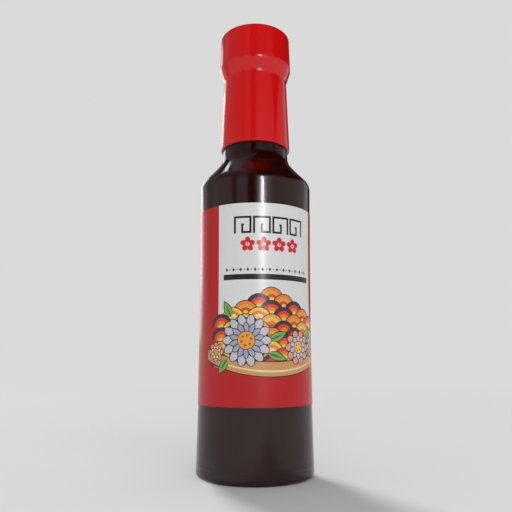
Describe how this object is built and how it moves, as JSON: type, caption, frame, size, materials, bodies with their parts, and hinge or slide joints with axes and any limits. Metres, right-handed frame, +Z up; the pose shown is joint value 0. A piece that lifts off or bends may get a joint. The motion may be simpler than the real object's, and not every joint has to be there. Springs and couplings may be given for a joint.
{
  "type": "teriyaki sauce bottle",
  "caption": "Full round glass sauce bottle with a gently waisted body, sloping shoulder, printed wrap-round label and a tall red cap whose skirt covers the neck.",
  "frame": {"origin": "middle of the bottle's foot, on the surface it stands on", "axes": "+Z up along the bottle's axis, from foot to cap; the middle of the label's printed front faces -Y"},
  "size_m": [0.0594, 0.0594, 0.2366],
  "materials": {
    "glass": "dark brown tint, smooth and glossy",
    "sauce": "dark reddish brown liquid, nearly opaque",
    "label": "satin coated label paper, red with a white panel",
    "cap": "glossy red"
  },
  "bodies": {
    "root": {"glass_bottle": "glass", "sauce_filling": "sauce", "label_wrap": "label", "red_cap": "cap"}
  },
  "joints": []
}
